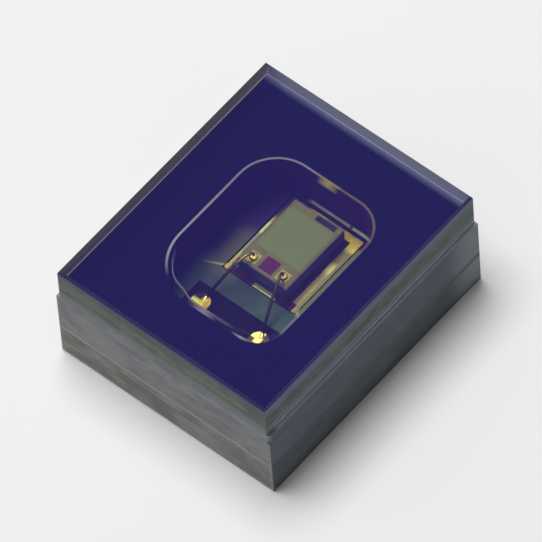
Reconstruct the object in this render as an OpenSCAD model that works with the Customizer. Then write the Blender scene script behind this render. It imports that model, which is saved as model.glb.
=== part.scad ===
// Silicon photomultiplier: a sensor die in a sawn laminate cavity package under a coated glass lid.
// Millimetres, +Z up, origin at the middle of the solder plane. Front is -Y and left is -X.

/* [Body] */
// Width of the sawn laminate body, across X
body_w = 2.08; // [1.95:0.01:2.4]
// Length of the sawn laminate body, along Y
body_l = 2.45; // [2.3:0.01:2.8]
// Thickness of the laminate core under the floor
core_t = 0.28; // [0.2:0.01:0.4]
// Thickness of the bond film between floor and frame
bond_t = 0.014; // [0.01:0.001:0.03]
// Height of the laminate frame round the cavity
wall_h = 0.41; // [0.38:0.01:0.55]
// Thickness of the glue line under the lid
glue_t = 0.02; // [0.01:0.002:0.04]
// Height of the chip broken out of the front right edge of the frame
chip_h = 0.1; // [0.05:0.01:0.2]
// How far the chip reaches into the frame
chip_d = 0.022; // [0.01:0.001:0.025]

/* [Lid] */
// Thickness of the glass lid
lid_t = 0.285; // [0.2:0.005:0.4]
// Ledge that the lid's saw cut left on the body's left and right
ledge_side = 0.03; // [0.01:0.005:0.06]
// Ledge that the lid's saw cut left on the body's front and rear
ledge_end = 0.006; // [0.002:0.001:0.03]
// Depth of the lid's saw cut into the frame
saw_step = 0.03; // [0.01:0.005:0.06]
// Bevel along the lid's upper edges
lid_bevel = 0.012; // [0.005:0.001:0.03]

/* [Cavity] */
// Width of the cavity, across X
cavity_w = 1.194; // [1.1:0.002:1.3]
// Length of the cavity, along Y
cavity_l = 1.51; // [1.42:0.01:1.7]
// Radius of the cavity's front left corner
corner_front_left = 0.45; // [0.3:0.01:0.5]
// Radius of the cavity's front right corner
corner_front_right = 0.24; // [0.2:0.01:0.4]
// Radius of the cavity's rear right corner
corner_rear_right = 0.3; // [0.2:0.01:0.36]
// Radius of the cavity's rear left corner
corner_rear_left = 0.36; // [0.2:0.01:0.4]
// How far the glue squeezed out under the lid reaches into the cavity
bead_w = 0.06; // [0.055:0.005:0.09]
// Radius of that glue's round edge
bead_r = 0.022; // [0.02:0.001:0.05]
// Width of the bond film's fillet at the foot of the wall
foot_fillet = 0.02; // [0.01:0.002:0.04]

/* [Floor] */
// Thickness of the gold-plated copper on the floor
copper_t = 0.02; // [0.012:0.001:0.03]
// Thickness of the solder mask over the copper on the floor
mask_cover = 0.006; // [0.003:0.001:0.015]
// Gap between the die pad and the mask round it
mask_gap = 0.012; // [0.006:0.001:0.03]
// Gap between the die pad and the rear wall of the cavity
pad_rear_gap = 0.05; // [0.04:0.005:0.1]
// Width of the die pad beside the die, on each side
pad_side = 0.107; // [0.05:0.001:0.13]
// Length of the die pad in front of the die
pad_ahead = 0.04; // [0.03:0.005:0.08]
// Length of the die pad behind the die
pad_behind = 0.095; // [0.04:0.005:0.12]
// Width of the traces that leave the die pad's front corners
trace_w = 0.03; // [0.02:0.002:0.05]
// Angle of those traces to the body's width, in degrees
trace_angle = 25; // [15:1:35]
// Height that the mask stands up over those traces
trace_ridge = 0.008; // [0.004:0.001:0.015]
// Gap between the traces' ends and the cavity's side walls
trace_clear = 0.08; // [0.05:0.005:0.15]
// Width of each bond finger
finger_w = 0.155; // [0.12:0.005:0.2]
// Length of each bond finger
finger_l = 0.235; // [0.18:0.005:0.25]
// Distance of each bond finger's middle from the body's middle
finger_x = 0.285; // [0.25:0.005:0.3]
// Gap between the bond fingers and the front wall of the cavity
finger_front_gap = 0.135; // [0.12:0.005:0.16]
// Laminate left bare round the bond fingers
finger_clear = 0.05; // [0.015:0.005:0.06]
// Laminate left bare behind the bond fingers
finger_behind = 0.065; // [0.03:0.005:0.08]

/* [Die] */
// Width of the silicon die
die_w = 0.475; // [0.42:0.005:0.5]
// Length of the silicon die
die_l = 0.685; // [0.65:0.005:0.72]
// Thickness of the silicon die
die_t = 0.15; // [0.1:0.005:0.2]
// Thickness of the adhesive under the die
attach_t = 0.02; // [0.01:0.001:0.03]
// Width of the adhesive's fillet round the die
attach_fillet = 0.028; // [0.008:0.001:0.03]
// Height of that fillet up the die's sides
attach_climb = 0.04; // [0.02:0.005:0.08]
// Thickness of the oxide and metal stack on the die
stack_t = 0.004; // [0.002:0.001:0.008]
// Bare silicon left round that stack by the saw
saw_lane = 0.008; // [0.004:0.001:0.012]
// Thickness of the films that stand on the stack
film_t = 0.003; // [0.002:0.001:0.005]
// Border beside the microcell field
field_side = 0.028; // [0.015:0.001:0.05]
// Border in front of the microcell field, where the bond pads lie
field_ahead = 0.185; // [0.175:0.005:0.22]
// Border behind the microcell field
field_behind = 0.078; // [0.07:0.002:0.1]
// Side of each square bond pad
bond_pad = 0.1; // [0.08:0.005:0.11]
// Distance of the bond pads from the die's sides
bond_pad_side = 0.043; // [0.02:0.001:0.05]
// Distance of the front films from the die's front edge
film_ahead = 0.03; // [0.015:0.005:0.04]
// Width of the reference cell between the bond pads
reference_w = 0.125; // [0.08:0.005:0.13]
// Length of the reference cell
reference_l = 0.13; // [0.1:0.005:0.14]
// Width of the guard bar behind the microcell field
guard_w = 0.19; // [0.1:0.01:0.25]
// Length of the guard bar
guard_l = 0.045; // [0.03:0.005:0.05]
// Distance of the guard bar from the die's right side
guard_side = 0.05; // [0.03:0.005:0.08]
// Distance of the guard bar from the die's rear edge
guard_behind = 0.014; // [0.012:0.002:0.02]

/* [Bond wires] */
// Diameter of the gold wire
wire_d = 0.024; // [0.018:0.001:0.03]
// Diameter of the ball bonded to the die
ball_d = 0.066; // [0.05:0.002:0.08]
// Height of the ball
ball_h = 0.024; // [0.015:0.001:0.035]
// Rise of the loop's bend above the ball
loop_rise = 0.085; // [0.06:0.005:0.11]
// How far the loop's bend leans towards the finger
loop_lean = 0.12; // [0.08:0.01:0.2]
// Length of the flattened stitch on the finger
stitch_l = 0.045; // [0.04:0.005:0.08]
// Distance of the stitch's end from the finger's rear edge
stitch_in = 0.055; // [0.05:0.005:0.12]
// Thickness left at the stitch's end, as a share of the wire
stitch_thin = 0.25; // [0.15:0.05:0.5]
// Spread of the stitch's end, as a share of the wire
stitch_spread = 1.7; // [1.2:0.1:2]

/* [Solder side] */
// Thickness of each solder land
land_t = 0.03; // [0.025:0.001:0.04]
// Width of each solder land
land_w = 0.7; // [0.6:0.01:0.75]
// Length of each solder land
land_l = 0.7; // [0.65:0.01:0.78]
// Distance of the lands from the body's sides
land_edge = 0.16; // [0.12:0.01:0.2]
// Corner cut off the first land, to mark it
land_mark = 0.16; // [0.1:0.01:0.25]
// Bare laminate round each land
land_gap = 0.03; // [0.02:0.005:0.05]
// How far the lands stand out past the solder mask
land_proud = 0.008; // [0.004:0.001:0.015]
// Diameter of the filled vias through the core
via_d = 0.12; // [0.08:0.01:0.15]

/* [Hidden] */
$fn = 64;
// Sides of the bond wires' section
wire_sides = 10;
// Steps along the bond wires' ball, loop and stitch
ball_steps = 5;
loop_steps = 16;
stitch_steps = 3;
// Lean of the chip's face, in degrees: it runs out towards the ledge
chip_tilt = 8;
// Overshoot of cutting bodies
over = 0.01;
// Thickness of the slices that a taper is hulled between
slice_t = 0.001;

// Levels, from the solder plane up
floor_z = land_t + core_t;
copper_z = floor_z + copper_t;
mask_z = copper_z + mask_cover;
wall_z = mask_z + bond_t;
wall_top = wall_z + wall_h;
lid_z = wall_top + glue_t;
die_z = copper_z + attach_t;
die_top = die_z + die_t;
stack_top = die_top + stack_t;
film_top = stack_top + film_t;

// Lid and cavity
lid_w = body_w - 2 * ledge_side;
lid_l = body_l - 2 * ledge_end;
half_w = cavity_w / 2;
half_l = cavity_l / 2;
// The four walls in turn from the front: distance, half run, corner radius at the start and the end
WALLS = [
    [half_l, half_w, corner_front_left, corner_front_right],
    [half_w, half_l, corner_front_right, corner_rear_right],
    [half_l, half_w, corner_rear_right, corner_rear_left],
    [half_w, half_l, corner_rear_left, corner_front_left]
];

// Die pad and die, back to back against the rear wall
pad_rear = half_l - pad_rear_gap;
die_rear = pad_rear - pad_behind;
die_front = die_rear - die_l;
pad_front = die_front - pad_ahead;
pad_half = die_w / 2 + pad_side;
die_half = die_w / 2;
trace_run = (half_w - trace_clear - pad_half) / cos(trace_angle);

// Bond fingers and the bare window round them
finger_front = -half_l + finger_front_gap;
finger_rear = finger_front + finger_l;
window_half = finger_x + finger_w / 2 + finger_clear;

// Films on the die
film_front = die_front + film_ahead;
bond_pad_x = die_half - bond_pad_side - bond_pad / 2;
bond_pad_y = film_front + bond_pad / 2;

// Lands and vias
land_x = body_w / 2 - land_edge - land_w / 2;
land_y = body_l / 2 - land_edge - land_l / 2;
via_rear = [(land_x - land_w / 2 + pad_half) / 2, (land_y - land_l / 2 + pad_rear) / 2];
via_front = [
    (land_x - land_w / 2 + finger_x + finger_w / 2) / 2,
    (finger_front + min(finger_rear, -land_y + land_l / 2)) / 2
];

// Bond wire, measured along its own upright plane: u from the ball, z up
wire_r = wire_d / 2;
stitch_y = finger_rear - stitch_in;
wire_run = norm([finger_x - bond_pad_x, bond_pad_y - stitch_y]);
wire_turn = atan2(stitch_y - bond_pad_y, finger_x - bond_pad_x);
ball_top = film_top + ball_h;
flat_share = cos(180 / wire_sides);
LOOP = [
    [0, ball_top],
    [0, ball_top + loop_rise],
    [loop_lean, ball_top + loop_rise],
    [wire_run - stitch_l, copper_z + wire_r]
];
loop_dive = atan2(LOOP[3].y - LOOP[2].y, LOOP[3].x - LOOP[2].x);

// A block between two opposite corners
module block(low, high) {
    translate(low)
        cube(high - low);
}

// The cavity's outline: straight walls that run into four corner arcs
module cavity_outline() {
    polygon([for (i = [0:3]) each [
        turned([-WALLS[i][1] + WALLS[i][2], -WALLS[i][0]], 90 * i),
        turned([WALLS[i][1] - WALLS[i][3], -WALLS[i][0]], 90 * i)
    ]]);
    for (i = [0:3])
        translate(turned([WALLS[i][1] - WALLS[i][3], -WALLS[i][0] + WALLS[i][3]], 90 * i))
            circle(WALLS[i][3]);
}

// Point p turned about the origin
function turned(p, angle) = [
    p.x * cos(angle) - p.y * sin(angle),
    p.x * sin(angle) + p.y * cos(angle)
];

// Carries a profile round the cavity: x of the profile is the distance out from the wall, y is the height
module along_wall() {
    for (i = [0:3]) {
        wall = WALLS[i];
        rotate(90 * i) {
            translate([-wall[1] + wall[2], -wall[0], 0])
                rotate([90, 0, 90])
                    linear_extrude(2 * wall[1] - wall[2] - wall[3])
                        children();
            translate([wall[1] - wall[3], -wall[0] + wall[3], 0])
                rotate(-90)
                    rotate_extrude(angle = 90)
                        translate([wall[3], 0])
                            mirror([1, 0])
                                children();
        }
    }
}

// A slab of the body's or the lid's outline with the cavity cut through it
module ring(w, l, z, h) {
    translate([0, 0, z])
        linear_extrude(h)
            difference() {
                square([w, l], center = true);
                cavity_outline();
            }
}

// A thin film on the die, given by its outline's corners
module film(low, high, z, t) {
    block([low.x, low.y, z], [high.x, high.y, z + t]);
}

// Laminate core, drilled for the vias
module base_core() {
    color("#5f6264")
        difference() {
            block([-body_w / 2, -body_l / 2, land_t], [body_w / 2, body_l / 2, floor_z]);
            for (side = [-1, 1], at = [via_front, via_rear])
                translate([side * at.x, at.y, land_t - over])
                    cylinder(h = core_t + 2 * over, d = via_d);
        }
}

// Outline of one solder land, with the first one's corner cut off
module land_outline(side, end, grow) {
    x = land_w / 2 + grow;
    y = land_l / 2 + grow;
    cut = side < 0 && end < 0 ? land_mark : 0;
    translate([side * land_x, end * land_y])
        if (cut > 0)
            polygon([[-x + cut, -y], [x, -y], [x, y], [-x, y], [-x, -y + cut]]);
        else
            square([2 * x, 2 * y], center = true);
}

module solder_land(side, end) {
    color("#c9a24a")
        linear_extrude(land_t)
            land_outline(side, end, 0);
}

// Solder mask on the underside, clear of the lands
module bottom_mask() {
    color("#2e4a38")
        translate([0, 0, land_proud])
            linear_extrude(land_t - land_proud)
                difference() {
                    square([body_w, body_l], center = true);
                    for (side = [-1, 1], end = [-1, 1])
                        land_outline(side, end, land_gap);
                }
}

// Filled copper via through the core
module via(side, at) {
    color("#b0703c")
        translate([side * at.x, at.y, land_t])
            cylinder(h = core_t, d = via_d);
}

// A trace from one front corner of the die pad towards the cavity's wall
module pad_trace(side, grow, z, h) {
    translate([side * pad_half, pad_front + trace_w, z])
        mirror([side < 0 ? 1 : 0, 0, 0])
            rotate(-trace_angle)
                translate([-trace_w, -trace_w / 2 - grow, 0])
                    cube([trace_run + trace_w + grow, trace_w + 2 * grow, h]);
}

// Gold-plated die pad with its two traces
module die_pad() {
    color("#c8a646") {
        block([-pad_half, pad_front, floor_z], [pad_half, pad_rear, copper_z]);
        for (side = [-1, 1])
            pad_trace(side, 0, floor_z, copper_t);
    }
}

// Solder mask over the floor, open at the die pad and at the bond fingers, raised over the traces
module floor_mask() {
    color("#3c5a4c")
        difference() {
            union() {
                block([-body_w / 2, -body_l / 2, floor_z], [body_w / 2, body_l / 2, mask_z]);
                for (side = [-1, 1])
                    pad_trace(side, mask_gap, floor_z, copper_t + mask_cover + trace_ridge);
            }
            block(
                [-pad_half - mask_gap, pad_front - mask_gap, floor_z - over],
                [pad_half + mask_gap, pad_rear + mask_gap, mask_z + trace_ridge + over]
            );
            block(
                [-window_half, finger_front - finger_clear, floor_z - over],
                [window_half, finger_rear + finger_behind, mask_z + over]
            );
            for (side = [-1, 1])
                pad_trace(side, 0, floor_z - over, copper_t + over);
        }
}

// Gold-plated land that a bond wire is stitched to, round at the wire's end
module bond_finger(side) {
    color("#d8b64e")
        translate([side * finger_x, 0, floor_z])
            linear_extrude(copper_t) {
                translate([-finger_w / 2, finger_front])
                    square([finger_w, finger_l - finger_w / 2]);
                translate([0, finger_rear - finger_w / 2])
                    circle(d = finger_w);
            }
}

// Bond film between floor and frame, with the resin that ran out at the foot of the wall
module frame_bond_film() {
    color("#8e9290") {
        ring(body_w, body_l, mask_z, bond_t);
        along_wall()
            polygon([[0, mask_z], [foot_fillet, mask_z], [0, mask_z + foot_fillet]]);
    }
}

// Laminate frame: the saw cut through the lid goes a little way into it and leaves a ledge
module cavity_frame() {
    color("#6c6f72")
        difference() {
            union() {
                ring(body_w, body_l, wall_z, wall_h - saw_step);
                ring(lid_w, lid_l, wall_top - saw_step, saw_step);
            }
            translate([body_w / 2, -body_l / 2, wall_top - saw_step - chip_h])
                rotate(-45)
                    translate([-chip_d, -chip_h, 0])
                        rotate([0, chip_tilt, 0])
                            cube([chip_h, 2 * chip_h, 2 * chip_h]);
        }
}

// Adhesive under the die, with a fillet that climbs its sides
module die_attach() {
    color("#4a4c52")
        difference() {
            hull() {
                block(
                    [-die_half - attach_fillet, die_front - attach_fillet, copper_z],
                    [die_half + attach_fillet, die_rear + attach_fillet, copper_z + slice_t]
                );
                block(
                    [-die_half, die_front, copper_z],
                    [die_half, die_rear, die_z + attach_climb]
                );
            }
            block([-die_half, die_front, die_z], [die_half, die_rear, die_top]);
        }
}

// Silicon die
module sensor_die() {
    color("#2c2a44")
        block([-die_half, die_front, die_z], [die_half, die_rear, die_top]);
}

// Oxide and metal stack on the die, inside the lane that the saw ran in
module die_stack() {
    color("#8e876c")
        film(
            [-die_half + saw_lane, die_front + saw_lane],
            [die_half - saw_lane, die_rear - saw_lane],
            die_top, stack_t
        );
}

// Field of microcells that detects the light
module microcell_field() {
    color("#707862")
        film(
            [-die_half + field_side, die_front + field_ahead],
            [die_half - field_side, die_rear - field_behind],
            stack_top, film_t
        );
}

// Square pad that a bond wire's ball is welded to
module die_bond_pad(side) {
    color("#b59a52")
        film(
            [side * bond_pad_x - bond_pad / 2, film_front],
            [side * bond_pad_x + bond_pad / 2, film_front + bond_pad],
            stack_top, film_t
        );
}

// Dark reference cell between the bond pads
module reference_cell() {
    color("#5c2070")
        film(
            [-reference_w / 2, film_front],
            [reference_w / 2, film_front + reference_l],
            stack_top, film_t
        );
}

// Dark guard bar behind the microcell field
module guard_bar() {
    color("#26264c")
        film(
            [die_half - guard_side - guard_w, die_rear - guard_behind - guard_l],
            [die_half - guard_side, die_rear - guard_behind],
            stack_top, film_t
        );
}

// Point on the loop, a cubic curve from the ball to the stitch
function loop_at(t) =
    pow(1 - t, 3) * LOOP[0] + 3 * t * pow(1 - t, 2) * LOOP[1]
    + 3 * t * t * (1 - t) * LOOP[2] + pow(t, 3) * LOOP[3];

// Direction of the loop at the same point
function loop_slope(t) =
    let (d = pow(1 - t, 2) * (LOOP[1] - LOOP[0]) + 2 * t * (1 - t) * (LOOP[2] - LOOP[1])
        + t * t * (LOOP[3] - LOOP[2]))
    atan2(d.y, d.x);

// Half width of the squashed ball at a share of its height
function ball_at(share) = ball_d / 2 * sqrt(1 - pow((share - 0.45) / 0.65, 2));

// Sections of a wire in turn: u, z, slope, half width, half height
function wire_sections() = [
    for (i = [0:ball_steps - 1])
        let (share = i / ball_steps)
        [0, film_top + share * ball_h, 90, ball_at(share), ball_at(share)],
    for (i = [0:loop_steps])
        let (t = i / loop_steps, at = loop_at(t))
        [at.x, at.y, loop_slope(t), wire_r, wire_r],
    for (i = [1:stitch_steps])
        let (share = i / stitch_steps, thin = wire_r * (1 - (1 - stitch_thin) * share))
        [
            wire_run - stitch_l * (1 - share), copper_z + flat_share * thin, loop_dive * (1 - share),
            wire_r * (1 + (stitch_spread - 1) * share), thin
        ]
];

// Ring of points round one section
function section_points(s) = [
    for (j = [0:wire_sides - 1])
        let (a = 360 * j / wire_sides, n = s[4] * sin(a))
        [s[0] - n * sin(s[2]), s[3] * cos(a), s[1] + n * cos(s[2])]
];

// Gold wire in one piece: ball on the die, loop, and stitch on the finger
module bond_wire(side) {
    sections = wire_sections();
    last = len(sections) - 1;
    color("#d9b24c")
        mirror([side < 0 ? 1 : 0, 0, 0])
            translate([bond_pad_x, bond_pad_y, 0])
                rotate(wire_turn)
                    polyhedron(
                        points = [for (s = sections) each section_points(s)],
                        faces = [
                            [for (j = [0:wire_sides - 1]) j],
                            for (i = [0:last - 1], j = [0:wire_sides - 1])
                                let (k = (j + 1) % wire_sides, a = i * wire_sides, b = a + wire_sides)
                                each [[a + j, b + j, b + k], [a + j, b + k, a + k]],
                            [for (j = [wire_sides - 1:-1:0]) last * wire_sides + j]
                        ]
                    );
}

// Glue under the lid, with the round-edged bead that it squeezed into the cavity
module lid_glue() {
    color("#1d1c4c") {
        ring(lid_w, lid_l, wall_top, glue_t);
        along_wall()
            translate([0, lid_z - bead_r]) {
                translate([bead_w - bead_r, 0])
                    circle(bead_r);
                translate([0, -bead_r])
                    square([bead_w - bead_r, 2 * bead_r]);
            }
    }
}

// Glass lid, sawn at its sides and bevelled along its upper edges
module lid_glass() {
    color("#2a2763")
        translate([0, 0, lid_z])
            hull() {
                linear_extrude(lid_t - lid_bevel)
                    square([lid_w, lid_l], center = true);
                linear_extrude(lid_t)
                    square([lid_w - 2 * lid_bevel, lid_l - 2 * lid_bevel], center = true);
            }
}

base_core();
bottom_mask();
solder_land(-1, -1);  // land_front_left
solder_land(1, -1);  // land_front_right
solder_land(-1, 1);  // land_rear_left
solder_land(1, 1);  // land_rear_right
via(-1, via_front);  // via_front_left
via(1, via_front);  // via_front_right
via(-1, via_rear);  // via_rear_left
via(1, via_rear);  // via_rear_right
floor_mask();
die_pad();
bond_finger(-1);  // bond_finger_left
bond_finger(1);  // bond_finger_right
frame_bond_film();
cavity_frame();
die_attach();
sensor_die();
die_stack();
microcell_field();
die_bond_pad(-1);  // bond_pad_left
die_bond_pad(1);  // bond_pad_right
reference_cell();
guard_bar();
bond_wire(-1);  // bond_wire_left
bond_wire(1);  // bond_wire_right
lid_glue();
lid_glass();
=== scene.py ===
"""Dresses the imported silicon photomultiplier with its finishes, fine surfaces, studio light and camera.

Blender works in metres in the part's own frame. Sizes in the classes are millimetres and pass through MM.
"""

from __future__ import annotations

import logging
import math
from dataclasses import dataclass
from enum import Enum, IntEnum
from typing import Any

import bpy
import numpy as np
from mathutils import Matrix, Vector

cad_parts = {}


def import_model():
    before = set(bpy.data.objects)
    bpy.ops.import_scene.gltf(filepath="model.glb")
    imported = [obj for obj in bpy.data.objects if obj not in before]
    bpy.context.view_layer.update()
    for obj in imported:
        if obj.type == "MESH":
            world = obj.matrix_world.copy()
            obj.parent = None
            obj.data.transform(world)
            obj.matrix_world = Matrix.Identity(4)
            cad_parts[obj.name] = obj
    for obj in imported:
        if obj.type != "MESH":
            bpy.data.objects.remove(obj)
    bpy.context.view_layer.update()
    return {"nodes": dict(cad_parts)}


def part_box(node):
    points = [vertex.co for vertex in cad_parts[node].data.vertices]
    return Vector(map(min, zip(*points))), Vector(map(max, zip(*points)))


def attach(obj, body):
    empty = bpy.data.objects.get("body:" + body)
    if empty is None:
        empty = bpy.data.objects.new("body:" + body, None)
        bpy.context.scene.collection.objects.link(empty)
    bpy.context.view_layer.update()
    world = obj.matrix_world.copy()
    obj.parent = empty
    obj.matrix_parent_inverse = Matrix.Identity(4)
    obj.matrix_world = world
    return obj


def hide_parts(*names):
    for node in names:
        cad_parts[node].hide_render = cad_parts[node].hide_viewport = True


Node = bpy.types.Node
Socket = bpy.types.NodeSocket
Feeds = dict[str, Socket]
Array = np.ndarray
Pair = tuple[float, float]
Triple = tuple[float, float, float]

LOG = logging.getLogger("photomultiplier")
MM = 0.001
ROOT = "root"
SHADE = "shade"
# The body's half width and half length in millimetres.
BODY_HALF = {"X": 1.04, "Y": 1.225}
# Levels that hold nearly all of a noise, and of the sum of two.
NOISE_RANGE = (0.3, 0.7)
SUM_RANGE = (0.75, 1.25)


def linear(code: str) -> tuple[float, float, float, float]:
    """Turns an sRGB hex colour to linear light.

    Args:
        code: Six hex digits after a hash sign.

    Returns:
        Linear red, green and blue, and an alpha of one.
    """
    srgb = np.array([int(code[i : i + 2], 16) / 255 for i in (1, 3, 5)])
    light = np.where(srgb <= 0.04045, srgb / 12.92, ((srgb + 0.055) / 1.055) ** 2.4)
    return (*light.tolist(), 1.0)


class Slot(str, Enum):
    """Material slots, one named by each new piece."""

    LAMINATE = "laminate"
    RESIN = "bond_resin"
    WIRE = "gold_wire"
    GLUE = "lid_adhesive"
    GLASS = "coated_glass"


class MixSocket(IntEnum):
    """Places of the colour sockets on Blender's Mix node."""

    FACTOR = 0
    FIRST = 6
    SECOND = 7
    RESULT = 2


class Facing(IntEnum):
    """Which side of the part a face looks to."""

    FRONT = 0
    RIGHT = 1
    REAR = 2
    LEFT = 3


@dataclass(frozen=True)
class Pen:
    """Draws patterns in one node tree on Object coordinates, with lengths in real millimetres."""

    tree: bpy.types.NodeTree

    def add(self, kind: str, inputs: dict[Any, Any] | None = None, **settings: Any) -> Node:
        """Adds a node with its settings, its plain input values and its links.

        Args:
            kind: Name of the node's class after ShaderNode.
            inputs: Input name or index to a value, or to the socket that feeds it.
            settings: Properties of the node itself.

        Returns:
            The new node.
        """
        node = self.tree.nodes.new(f"ShaderNode{kind}")
        for key, value in settings.items():
            setattr(node, key, value)
        for key, value in (inputs or {}).items():
            if isinstance(value, Socket):
                self.tree.links.new(value, node.inputs[key])
            else:
                node.inputs[key].default_value = value
        return node

    def noise(self, grain: float | Triple, detail: float = 2.0) -> Socket:
        """Noise of a given grain.

        Args:
            grain: Grain, the same all ways or along X, Y and Z.
            detail: Octaves of finer noise.

        Returns:
            The noise value, about 0.5 on average.
        """
        place = self.add("TexCoord").outputs["Object"]
        scale = [1 / (size * MM) for size in np.broadcast_to(grain, 3).tolist()]
        scaled = self.add("Mapping", {"Vector": place, "Scale": scale}).outputs["Vector"]
        return self.add("TexNoise", {"Vector": scaled, "Scale": 1.0, "Detail": detail}).outputs["Fac"]

    def place(self, axis: str, size: bool = False) -> Socket:
        """A point's place along an axis.

        Args:
            axis: X, Y or Z.
            size: True for the distance from the middle.

        Returns:
            The place in metres.
        """
        coords = self.add("TexCoord").outputs["Object"]
        along = self.add("SeparateXYZ", {0: coords}).outputs[axis]
        return self.add("Math", {0: along}, operation="ABSOLUTE").outputs[0] if size else along

    def spread(
        self, value: Socket, low: float, high: float, to_low: float = 0.0, to_high: float = 1.0
    ) -> Socket:
        """Stretches a pattern's value between two levels to a new range, easing in and out.

        Args:
            value: Socket with the pattern.
            low: Value that becomes to_low.
            high: Value that becomes to_high.
            to_low: Result at and below low.
            to_high: Result at and above high.

        Returns:
            The stretched value.
        """
        levels = {"Value": value, "From Min": low, "From Max": high, "To Min": to_low, "To Max": to_high}
        return self.add("MapRange", levels, interpolation_type="SMOOTHSTEP").outputs["Result"]

    def ramp(
        self, axis: str, low: float, high: float, ends: Pair = (0.0, 1.0), size: bool = False
    ) -> Socket:
        """Changes between two values from one place along an axis to another; size as in place."""
        return self.spread(self.place(axis, size), low * MM, high * MM, *ends)

    def near_side(self, axis: str, width: float) -> Socket:
        """Rises from 0 to 1 over a width next to the body's two sides across an axis."""
        return self.ramp(axis, BODY_HALF[axis] - width, BODY_HALF[axis], size=True)

    def product(self, result: Socket, *factors: Socket | float) -> Socket:
        """Multiplies a pattern by factors.

        Args:
            result: Socket with the pattern.
            factors: Sockets or numbers.

        Returns:
            The product.
        """
        for factor in factors:
            result = self.add("Math", {0: result, 1: factor}, operation="MULTIPLY").outputs[0]
        return result

    def band(self, axis: str, low: float, high: float, soft: float) -> Socket:
        """1 between two places along an axis, falling to 0 over a soft width outside them."""
        rise = self.ramp(axis, low - soft, low)
        return self.product(rise, self.ramp(axis, high, high + soft, (1.0, 0.0)))

    def blend(self, factor: Socket, first: str | Socket, second: str | Socket) -> Socket:
        """Mixes two colours by a pattern.

        Args:
            factor: Socket from 0, the first colour, to 1, the second.
            first: Hex colour or a colour socket.
            second: Hex colour or a colour socket.

        Returns:
            The mixed colour.
        """
        colours = [linear(c) if isinstance(c, str) else c for c in (first, second)]
        inputs = {MixSocket.FACTOR: factor, MixSocket.FIRST: colours[0], MixSocket.SECOND: colours[1]}
        return self.add("Mix", inputs, data_type="RGBA").outputs[MixSocket.RESULT]

    def clouded(self, clouds: Socket, first: str, second: str) -> Socket:
        """Mixes two colours by the middle range of a noise."""
        return self.blend(self.spread(clouds, *NOISE_RANGE), first, second)

    def streaked(self, streaks: Socket, mottle: Socket, dark: str, light: str) -> Socket:
        """Mixes two colours by the sum of two noises."""
        both = self.add("Math", {0: streaks, 1: mottle}, operation="ADD").outputs[0]
        return self.blend(self.spread(both, *SUM_RANGE), dark, light)

    def relief(self, height: Socket, depth: float) -> Socket:
        """The normal of a relief, whose height from 0 to 1 stands for a depth."""
        inputs = {"Height": height, "Strength": 1.0, "Distance": depth * MM}
        return self.add("Bump", inputs).outputs["Normal"]

    def let_through(self, share: Socket, seen: Socket, tint: str) -> Socket:
        """Mixes a shader with a clear tint by a share of the rays."""
        clear = self.add("BsdfTransparent", {"Color": linear(tint)}).outputs["BSDF"]
        return self.add("MixShader", {0: share, 1: seen, 2: clear}).outputs["Shader"]


@dataclass(frozen=True)
class Patch:
    """A soft-edged rectangle in plan that takes a colour of its own, in millimetres."""

    x: Pair
    y: Pair
    colour: str
    soft: float = 0.02


@dataclass(frozen=True)
class Finish:
    """A finish: the constants of its Principled shader, and the pattern that its own class draws."""

    name: str
    colour: str
    roughness: float
    metallic: float = 0.0
    ior: float = 1.5
    transmission: float = 0.0
    specular_tint: Triple = (1.0, 1.0, 1.0)
    patches: tuple[Patch, ...] = ()
    gloss: Pair = (0.7, 1.4)

    def material(self) -> bpy.types.Material:
        """Builds the material once and hands the same one out afterwards.

        Returns:
            The Blender material.
        """
        known = bpy.data.materials.get(self.name)
        if known:
            return known
        made = bpy.data.materials.new(self.name)
        made.use_nodes = True
        made.node_tree.nodes.clear()
        pen = Pen(made.node_tree)
        pen.add("OutputMaterial", {"Surface": self.surface(pen)})
        return made

    def surface(self, pen: Pen) -> Socket:
        """Makes the Principled shader, whose pattern goes before its constants.

        Args:
            pen: Pen in the material's tree.

        Returns:
            The shader that the material shows.
        """
        plain = {
            "Base Color": linear(self.colour),
            "Roughness": self.roughness,
            "Metallic": self.metallic,
            "IOR": self.ior,
            "Transmission Weight": self.transmission,
            "Specular Tint": (*self.specular_tint, 1.0),
        }
        return pen.add("BsdfPrincipled", plain | self.pattern(pen)).outputs["BSDF"]

    def pattern(self, pen: Pen) -> Feeds:
        """What feeds the shader's inputs: nothing here, as each finish draws its own."""
        return {}

    def glossed(self, pen: Pen, noise: Socket) -> Socket:
        """The roughness, varied by a noise between two shares of itself."""
        return pen.spread(noise, *NOISE_RANGE, *(share * self.roughness for share in self.gloss))

    def patched(self, pen: Pen, colour: Socket) -> Socket:
        """Lays the finish's patches over a colour.

        Args:
            pen: Pen in the material's tree.
            colour: Socket with the colour under them.

        Returns:
            The colour with the patches on it.
        """
        for patch in self.patches:
            inside = pen.product(pen.band("X", *patch.x, patch.soft), pen.band("Y", *patch.y, patch.soft))
            colour = pen.blend(inside, colour, patch.colour)
        return colour


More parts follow.
